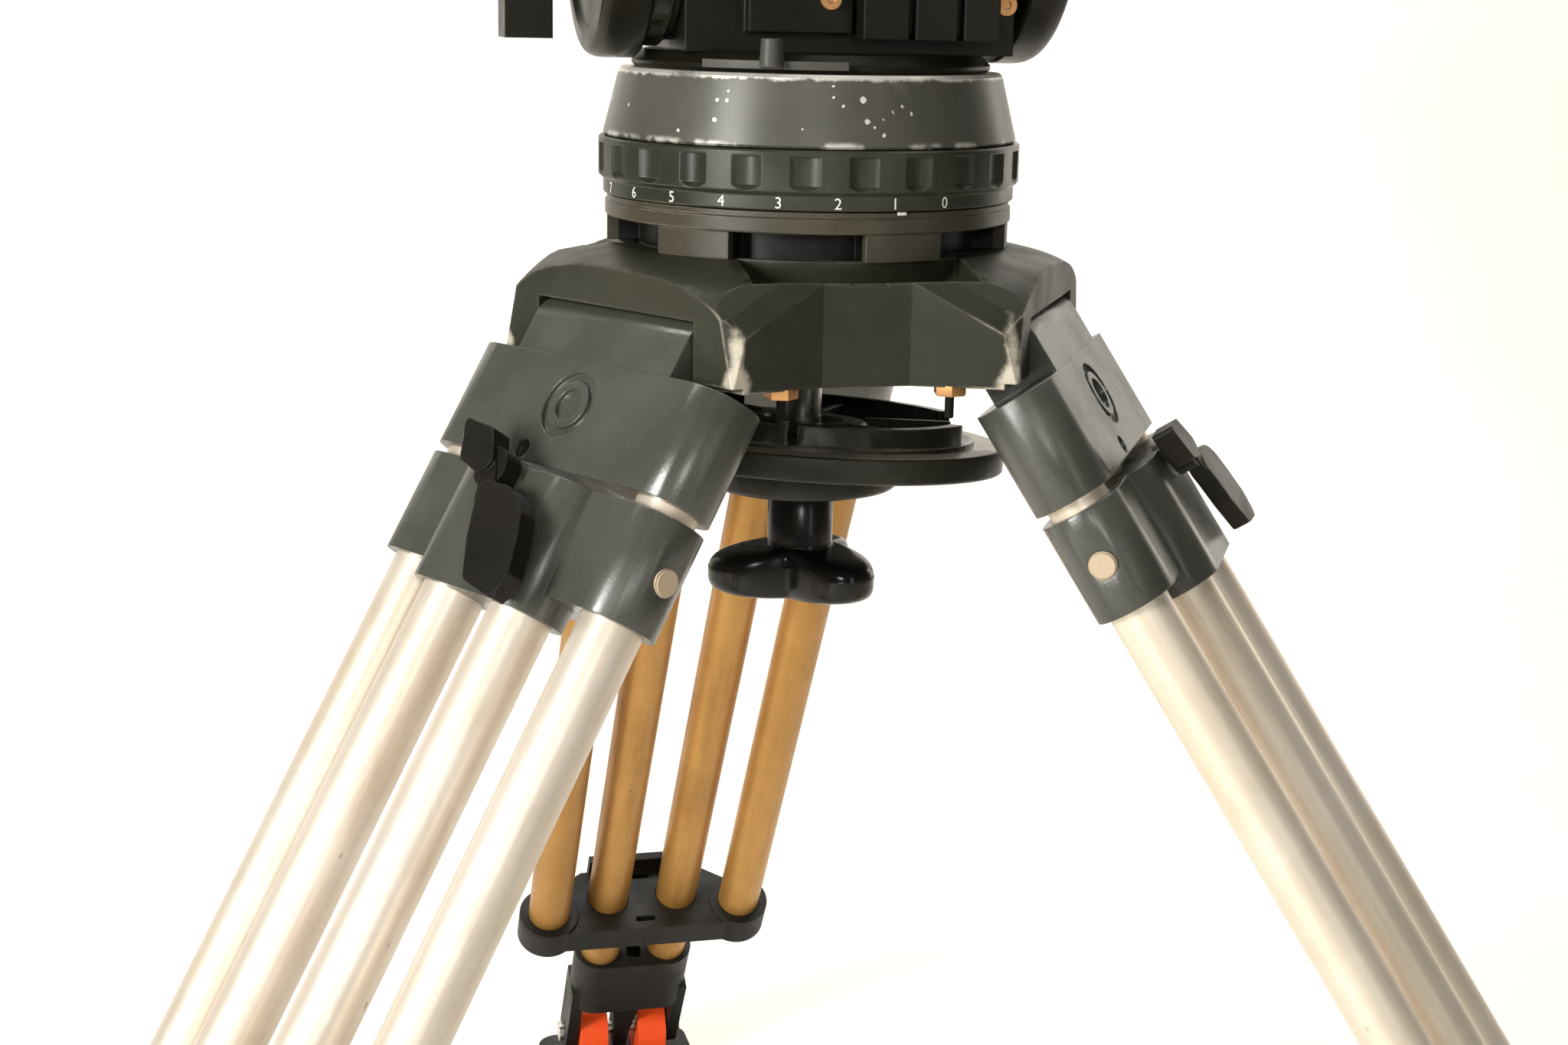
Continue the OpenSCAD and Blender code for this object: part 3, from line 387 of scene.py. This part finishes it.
# Right leg: the cream tones painted lighter, as painted light.
PAINTED_LIGHT_CREAM = ((0.88, 0.80, 0.69), (0.78, 0.68, 0.54), (0.56, 0.43, 0.29))
# Back leg: orange-bronze tones that are partly warm patina and partly a painted warm reflection and
# painted shade.
PATINA_AND_PAINTED_REFLECTION = ((0.50, 0.27, 0.072), (0.38, 0.195, 0.046), (0.22, 0.11, 0.024))
TUBES = {leg: leg_tube(leg, *tones)
         for leg, tones in {"right": PAINTED_LIGHT_CREAM, "left": CREAM, "back": PATINA_AND_PAINTED_REFLECTION}.items()}

LEVEL = Shader("level_vial").set(Base_Color=(0.55, 0.75, 0.12), Roughness=0.08,
                                 Transmission_Weight=0.35).mat

LOOKS = {
    "crown": CROWN, "leg_hinge_pins": STEEL, "tie_down_stud": STEEL, "clamp_plate": CLAMP_PAINT,
    "clamp_boss": CLAMP_PAINT, "wing_knob": KNOB_BLACK, "head_base": BASE_METAL,
    "pan_drag_ring": RING_METAL, "pan_housing": HOUSING, "head_neck": HEAD_PAINT,
    "pan_brake": GREY_PLASTIC, "tilt_housing": HEAD_PAINT, "head_screws": COPPER,
    "balance_blocks": HEAD_PAINT, "spirit_level": LEVEL, "left_drum": HEAD_PAINT,
    "right_drum": HEAD_PAINT, "tilt_drag_ring": RING_METAL, "balance_dial": GREY_PLASTIC,
    "tilt_brake": LEVER_PAINT, "platform": HEAD_PAINT, "plate_lock": LEVER_PAINT,
    "camera_plate": LEG_PAINT, "camera_screw": STEEL, "bar_bracket": HEAD_PAINT,
    "pan_bar": BAR_METAL, "bar_grip": GRIP_RUBBER,
}
for leg in LEG_DIRS:
    LOOKS.update({
        f"{leg}_shoulder": LEG_PAINT, f"{leg}_slider": LEG_PAINT, f"{leg}_outer_tubes": TUBES[leg],
        f"{leg}_inner_tubes": TUBES[leg], f"{leg}_lower_bracket": BLACK_PLASTIC, f"{leg}_plugs": PLUG,
        f"{leg}_clamp_lever": LEVER_PAINT, f"{leg}_foot_fork": BLACK_PLASTIC, f"{leg}_foot_bolt": STEEL,
        f"{leg}_foot_collars": RED_RUBBER, f"{leg}_shoe": SHOE_RUBBER,
    })
for name, obj in NODES.items():
    obj.data.materials.clear()
    obj.data.materials.append(LOOKS[name])


# ---------------------------------------------------------------- rounded edges on the castings

def round_edges(node, width):
    """Breaks a casting's sharp edges with a real radius."""
    obj = NODES[node]
    weld = obj.modifiers.new("weld", "WELD")
    weld.merge_threshold = 0.01 * MM
    bevel = obj.modifiers.new("round_edges", "BEVEL")
    bevel.limit_method, bevel.angle_limit = "ANGLE", math.radians(32.0)
    bevel.width, bevel.segments = width, 2
    bevel.harden_normals = True


for node, width in {"crown": 1.2 * MM, "clamp_plate": 0.5 * MM, "clamp_boss": 0.6 * MM}.items():
    round_edges(node, width)
for leg in LEG_DIRS:
    round_edges(f"{leg}_shoulder", 1.0 * MM)
    round_edges(f"{leg}_slider", 0.9 * MM)


# ---------------------------------------------------------------- small pieces

def piece(name, bm, material, body, smooth_angle=35.0):
    """Makes an object from a bmesh, shaded smooth below an angle, and lets it ride on a body."""
    mesh = bpy.data.meshes.new(name)
    bmesh.ops.recalc_face_normals(bm, faces=bm.faces)
    for f in bm.faces:
        f.smooth = True
    for e in bm.edges:
        e.smooth = len(e.link_faces) == 2 and e.calc_face_angle(0.0) < math.radians(smooth_angle)
    bm.to_mesh(mesh)
    bm.free()
    mesh.materials.append(material)
    obj = bpy.data.objects.new(name, mesh)
    SCENE.collection.objects.link(obj)
    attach(obj, body)
    return obj


def bridge(bm, low, high):
    """Joins two rings of vertices with faces; a ring of one vertex is a tip."""
    steps = max(len(low), len(high))
    for i in range(steps):
        j = (i + 1) % steps
        if len(low) == 1:
            bm.faces.new((low[0], high[j], high[i]))
        elif len(high) == 1:
            bm.faces.new((low[i], low[j], high[0]))
        else:
            bm.faces.new((low[i], low[j], high[j], high[i]))


def skin(bm, rings):
    """Bridges a stack of rings and closes its ends."""
    for low, high in zip(rings, rings[1:]):
        bridge(bm, low, high)
    if len(rings[0]) > 1:
        bm.faces.new(list(reversed(rings[0])))
    if len(rings[-1]) > 1:
        bm.faces.new(rings[-1])


def turn(steps):
    """Angles of one turn, or a single one for a point on the axis."""
    return [2 * math.pi * i / steps for i in range(steps)]


def add_lathe(bm, profile, matrix, steps=48):
    """Turns a profile of (radius, height) about Z."""
    skin(bm, [[bm.verts.new(matrix @ Vector((r * math.cos(a), r * math.sin(a), z)))
               for a in turn(steps if r > 0 else 1)] for r, z in profile])


def place(direction, radius, z):
    """A frame on the pan axis turned to a direction from -Y, pushed out and raised."""
    return Matrix.Rotation(math.radians(direction), 4, "Z") @ Matrix.Translation((0, -radius, z))


def add_socket_screw(bm, matrix, radius, height):
    """Socket-head screw: chamfered head with a six-sided hole."""
    chamfer, hole, depth = 0.12 * radius, 0.5 * radius, 0.6 * height
    profile = [(radius, 0.0), (radius, height - chamfer), (radius - chamfer, height), (hole, height),
               (hole, height - depth), (0.0, height - depth)]
    rings = []
    for r, z in profile:
        ring = []
        for a in turn(24 if r > 0 else 1):
            flat = math.cos(math.pi / 6) / math.cos(a % (math.pi / 3) - math.pi / 6)
            reach = r * flat if r == hole else r
            ring.append(bm.verts.new(matrix @ Vector((reach * math.cos(a), reach * math.sin(a), z))))
        rings.append(ring)
    skin(bm, rings)


def make_wing_knob():
    """Three-lobed moulded knob with scooped sides, and its long sleeve."""
    low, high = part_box("wing_knob")
    hub_z, half = low.z + 11.6 * MM, 11.2 * MM
    reach, waist, first_lobe = 40.0 * MM, 18.5 * MM, math.radians(-60.0)
    hub_r, drop = 14.0 * MM, 4.2 * MM
    rows = 22
    bm = bmesh.new()
    rings = [[bm.verts.new((0, 0, hub_z - half))]]
    for j in range(1, rows):
        v = -math.pi / 2 + math.pi * j / rows
        out = math.cos(v) ** 0.22
        up = math.copysign(abs(math.sin(v)) ** 0.45, v)
        ring = []
        for a in turn(144):
            lobe = (0.5 + 0.5 * math.cos(3 * (a - first_lobe))) ** 0.85
            r = (waist + (reach - waist) * lobe) * out
            # The top falls from the hub towards the tips and between the lobes
            fall = drop * min(1.0, max(0.0, (r - hub_r) / (reach - hub_r)))
            z = hub_z + half * up - (fall if up > 0 else -0.4 * fall)
            ring.append(bm.verts.new((r * math.cos(a), r * math.sin(a), z)))
        rings.append(ring)
    rings.append([bm.verts.new((0, 0, hub_z + half))])
    skin(bm, rings)

    sleeve, bore, lip, bore_depth = 14.0 * MM, 8.3 * MM, 0.6 * MM, 3 * MM
    flare = [(sleeve + 7 * MM * (1 - math.sin(a)), hub_z + 4 * MM + 9 * MM * (1 - math.cos(a)))
             for a in [math.pi / 2 * i / 8 for i in range(9)]]
    mouth = [(sleeve, high.z - lip), (sleeve - lip, high.z), (bore, high.z), (bore, high.z - bore_depth),
             (0.0, high.z - bore_depth)]
    add_lathe(bm, flare + mouth, Matrix.Identity(4), steps=72)
    knob = piece("wing_knob_moulding", bm, KNOB_BLACK, "wing_knob", smooth_angle=50.0)
    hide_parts("wing_knob")


def digit_mesh(text, size):
    """A flat digit, centred, from the built-in font."""
    curve = bpy.data.curves.new("digit", "FONT")
    curve.body, curve.size, curve.align_x, curve.align_y = text, size, "CENTER", "BOTTOM_BASELINE"
    curve.extrude, curve.resolution_u = 0.06 * MM, 3
    obj = bpy.data.objects.new("digit", curve)
    SCENE.collection.objects.link(obj)
    bpy.context.view_layer.update()
    mesh = bpy.data.meshes.new_from_object(obj.evaluated_get(bpy.context.evaluated_depsgraph_get()))
    bpy.data.objects.remove(obj)
    bpy.data.curves.remove(curve)
    return mesh


def make_pan_numbers():
    """Numbers 0 to 7 printed round the foot of the pan drag ring."""
    foot, height, first, step = RING_Z + 0.9 * MM, 6.2 * MM, 24.35, -15.4
    bm = bmesh.new()
    for number in range(8):
        before = len(bm.verts)
        mesh = digit_mesh(str(number), height)
        bm.from_mesh(mesh)
        bpy.data.meshes.remove(mesh)
        bm.verts.ensure_lookup_table()
        for v in bm.verts[before:]:
            a = math.radians(first + step * number) + v.co.x / PAN_DIAL_R
            r = PAN_DIAL_R + 0.05 * MM + v.co.z
            v.co = Vector((r * math.sin(a), -r * math.cos(a), foot + v.co.y))
    piece("pan_ring_numbers", bm, MARKING, "pan_ring", smooth_angle=5.0)


def make_index_mark():
    """White dash on the base flange that the numbers are read against."""
    middle, half_angle, steps = math.radians(11.3), math.radians(1.3), 4
    inner, outer = PAN_DIAL_R - 1.1 * MM, PAN_DIAL_R - 0.7 * MM
    low, high = RING_Z - 1.5 * MM, RING_Z - 0.3 * MM
    bm = bmesh.new()
    sections = []
    for i in range(steps + 1):
        a = middle + half_angle * (2 * i / steps - 1)
        sections.append([bm.verts.new((r * math.sin(a), -r * math.cos(a), z))
                         for r, z in ((inner, low), (outer, low), (outer, high), (inner, high))])
    skin(bm, sections)
    piece("index_mark", bm, MARKING, "crown")


def make_crown_bolts():
    """Copper-coloured nuts under the crown, two in each hollow, with the ends of their studs."""
    bolt_r, spread, nut_r, nut_h, stud_r = 103 * MM, 19.0, 6.7 * MM, 4.2 * MM, 1.8 * MM
    nuts, studs = bmesh.new(), bmesh.new()
    for hollow in HOLLOW_DIRS:
        for side in (-1, 1):
            at = place(hollow + side * spread, bolt_r, CROWN_BOTTOM - 3.7 * MM)
            add_lathe(nuts, [(nut_r - 0.5 * MM, 0.0), (nut_r, 0.7 * MM), (nut_r, nut_h)], at, steps=6)
            add_lathe(studs, [(stud_r - 0.3 * MM, -9 * MM), (stud_r, -8.6 * MM), (stud_r, 1 * MM)], at,
                      steps=16)
    piece("crown_nuts", nuts, COPPER, "crown")
    # The stud ends under the crown are painted near black as painted shade.
    piece("crown_nut_studs", studs, SHADOW, "crown")


def make_plate_pads():
    """Ribbed rubber strips on the camera plate, beside the screw slot."""
    low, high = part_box("camera_plate")
    rib, gap, thick, margin = 2.6 * MM, 1.0 * MM, 1.6 * MM, 8 * MM
    width, middle = 19 * MM, 23.5 * MM
    bm = bmesh.new()
    y = low.y + margin
    while y + rib < high.y - margin:
        for side in (-1, 1):
            made = bmesh.ops.create_cube(bm, size=1.0)["verts"]
            bmesh.ops.scale(bm, vec=(width, rib, thick), verts=made)
            bmesh.ops.translate(bm, vec=(side * middle, y + rib / 2, high.z + 0.6 * MM), verts=made)
        y += rib + gap
    bmesh.ops.bevel(bm, geom=list(bm.edges), offset=0.45 * MM, segments=2, affect="EDGES")
    piece("camera_plate_pads", bm, SHOE_RUBBER, "camera_plate")


def make_head_fasteners():
    """Socket screws on the platform's corners and the drums' ends."""
    inset, sunk = 12 * MM, 0.2 * MM
    low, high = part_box("platform")
    bm = bmesh.new()
    for x in (low.x + inset, high.x - inset):
        for y in (low.y + inset, high.y - inset):
            add_socket_screw(bm, Matrix.Translation((x, y, high.z - sunk)), 4.2 * MM, 2.0 * MM)
    drum_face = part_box("right_drum")[1].x - 2.3 * MM
    for side, ring_r in ((1, 38 * MM), (-1, 42 * MM)):
        for a in turn(4):
            y, z = ring_r * math.cos(a + math.pi / 4), ring_r * math.sin(a + math.pi / 4)
            at = (Matrix.Translation((side * drum_face, y, TILT_Z + z))
                  @ Matrix.Rotation(side * math.pi / 2, 4, "Y"))
            add_socket_screw(bm, at, 3.6 * MM, 2.2 * MM)
    piece("head_socket_screws", bm, STEEL, "tilt_cradle")


make_wing_knob()
make_pan_numbers()
make_index_mark()
make_crown_bolts()
make_plate_pads()
make_head_fasteners()


# ---------------------------------------------------------------- stage, lights and camera

def backdrop_paper(colour):
    """Pale matt paper, clear from behind so that the object can be seen from every side."""
    s = Shader("stage_pale")
    tone = s.mix(s.ramp(s.noise(3.0, 4.0), 0.3, 0.7), colour, tuple(c * 0.985 for c in colour))
    s.set(Base_Color=tone, Roughness=0.9)
    through = s.node("MixShader", {0: s.node("NewGeometry").outputs["Backfacing"]})
    s.tree.links.new(s.bsdf.outputs[0], through.inputs[1])
    s.tree.links.new(s.node("BsdfTransparent").outputs[0], through.inputs[2])
    s.tree.links.new(through.outputs[0], s.out.inputs["Surface"])
    return s.mat


def make_stage():
    """A pale floor that curves up into a pale wall, a touch below the object."""
    back, bend, half_width, high, front, below = 1.9, 0.6, 4.5, 4.0, -3.5, 0.5 * MM
    mesh = bpy.data.meshes.new("stage")
    bm = bmesh.new()
    profile = [(front, 0.0)]
    profile += [(back - bend + bend * math.sin(a), bend - bend * math.cos(a))
                for a in [math.pi / 2 * i / 12 for i in range(13)]]
    profile.append((back, high))
    rows = [[bm.verts.new((x, y, z - below)) for x in (-half_width, half_width)] for y, z in profile]
    for a, b in zip(rows, rows[1:]):
        bm.faces.new((a[0], a[1], b[1], b[0]))
    bmesh.ops.rotate(bm, verts=bm.verts, matrix=Matrix.Rotation(math.radians(VIEW_TURN), 3, "Z"))
    bm.to_mesh(mesh)
    bm.free()
    for p in mesh.polygons:
        p.use_smooth = True
    stage = bpy.data.objects.new("stage", mesh)
    SCENE.collection.objects.link(stage)
    mesh.materials.append(backdrop_paper((0.86, 0.83, 0.78)))


def area_light(name, at, target, size, energy, colour=(1, 1, 1)):
    """A rectangular lamp of size (width, height) that faces a target."""
    data = bpy.data.lights.new(name, "AREA")
    data.shape = "RECTANGLE"
    data.size, data.size_y = size
    data.energy, data.color = energy, colour
    lamp = bpy.data.objects.new(name, data)
    lamp.location = at
    lamp.rotation_euler = (Vector(target) - Vector(at)).to_track_quat("-Z", "Y").to_euler()
    SCENE.collection.objects.link(lamp)


def make_lights():
    """A soft key from the left, small lamps at the front and right, and light on the pale wall behind."""
    world = bpy.data.worlds.new("studio")
    world.use_nodes = True
    background = world.node_tree.nodes["Background"].inputs
    background["Color"].default_value = (1.0, 0.965, 0.91, 1)
    background["Strength"].default_value = 0.11
    SCENE.world = world
    area_light("key", (-1.85, -1.15, 1.05), (0, 0, 0.5), (0.6, 0.8), 60.0, (1.0, 0.985, 0.95))
    area_light("flash", (-0.35, -1.9, 1.1), (0, 0, 0.45), (0.4, 0.3), 7.0, (1.0, 0.985, 0.95))
    area_light("strip", (0.85, -1.95, 0.9), (0, 0, 0.55), (0.25, 1.1), 2.2, (1.0, 0.97, 0.92))
    area_light("side", (1.6, 0.9, 0.9), (0, 0, 0.5), (0.4, 1.2), 3.0, (1.0, 0.93, 0.82))
    area_light("top", (0.2, 0.2, 2.4), (0, 0, 0.4), (1.2, 1.2), 8.0)
    area_light("wall", (0.0, 0.5, 2.6), (0.3, 1.9, 0.9), (2.6, 0.5), 62.0, (1.0, 0.98, 0.95))


def make_camera():
    """A hand-held view from the front left, a little above the pan ring."""
    distance, height, lens = 0.94286, 0.07776, 51.568
    yaw, pitch, roll = (math.radians(a) for a in (-0.42, 13.07, 1.23))
    spin = Matrix.Rotation(math.radians(VIEW_TURN), 3, "Z")
    ahead = Vector((math.sin(yaw) * math.cos(pitch), math.cos(yaw) * math.cos(pitch), -math.sin(pitch)))
    right = Vector((math.cos(yaw), -math.sin(yaw), 0))
    up = right.cross(ahead)
    right, up = right * math.cos(roll) + up * math.sin(roll), up * math.cos(roll) - right * math.sin(roll)
    data = bpy.data.cameras.new("camera")
    data.sensor_width, data.lens = 36.0, lens
    data.clip_start, data.clip_end = 0.05, 50.0
    cam = bpy.data.objects.new("camera", data)
    cam.matrix_world = Matrix.Translation(spin @ Vector((0, -distance, RING_Z + height))) @ Matrix(
        (spin @ right, spin @ up, spin @ -ahead)).transposed().to_4x4()
    SCENE.collection.objects.link(cam)
    SCENE.camera = cam


make_stage()
make_lights()
make_camera()
SCENE.view_settings.view_transform = "Standard"
